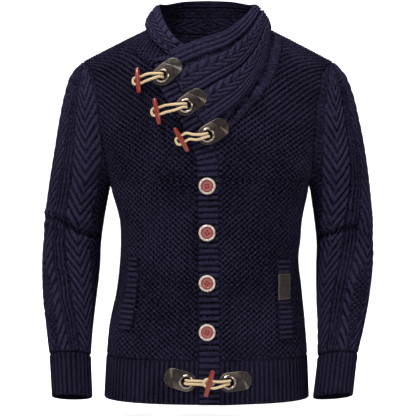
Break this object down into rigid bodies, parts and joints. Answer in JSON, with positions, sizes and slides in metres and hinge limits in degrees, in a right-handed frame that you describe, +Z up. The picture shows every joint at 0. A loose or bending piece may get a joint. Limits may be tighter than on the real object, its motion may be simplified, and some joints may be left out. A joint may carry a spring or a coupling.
{
  "type": "button neck turtleneck sweater",
  "caption": "Chunky knit sweater with a crossed shawl collar, a ribbed button front, cord toggles on leather tabs and cabled sleeves.",
  "frame": {"origin": "where the garment is held: between the shoulders, in the middle front to back, at the height where the collar leaves them", "axes": "+Z up towards the collar, -Y towards the buttoned front, +X towards the wearer's left"},
  "size_m": [0.6125, 0.2646, 0.746],
  "materials": {
    "rice_stitch_knit": "rough navy rice stitch",
    "ribbed_knit": "rough navy rib",
    "cable_knit": "rough navy cables and ribs",
    "plain_knit": "rough navy plain knit",
    "leather": "glossy dark brown",
    "antique_copper": "worn and dull",
    "horn": "polished cream",
    "brick_core": "polished brick red",
    "stained_wood": "polished red brown",
    "jute": "twisted natural cord"
  },
  "bodies": {
    "root": {"back": "rice_stitch_knit", "button_1": "horn", "button_2": "horn", "button_3": "horn", "button_4": "horn", "button_core_1": "brick_core", "button_core_2": "brick_core", "button_core_3": "brick_core", "button_core_4": "brick_core", "collar_left": "cable_knit", "collar_right": "cable_knit", "cord_1": "jute", "cord_2": "jute", "cord_3": "jute", "cord_4": "jute", "cord_5": "jute", "cuff_left": "ribbed_knit", "cuff_right": "ribbed_knit", "eyelet_1": "antique_copper", "eyelet_2": "antique_copper", "eyelet_3": "antique_copper", "eyelet_4": "antique_copper", "eyelet_5": "antique_copper", "front_left": "rice_stitch_knit", "front_right": "rice_stitch_knit", "hem_back": "ribbed_knit", "hem_left": "ribbed_knit", "hem_right": "ribbed_knit", "neck_band_left": "plain_knit", "neck_band_right": "plain_knit", "patch": "leather", "placket": "ribbed_knit", "sleeve_left": "cable_knit", "sleeve_right": "cable_knit", "tab_1": "leather", "tab_2": "leather", "tab_3": "leather", "tab_4": "leather", "tab_5": "leather", "toggle_1": "stained_wood", "toggle_2": "stained_wood", "toggle_3": "stained_wood", "toggle_4": "stained_wood", "welt_left": "ribbed_knit", "welt_right": "ribbed_knit"}
  },
  "joints": []
}
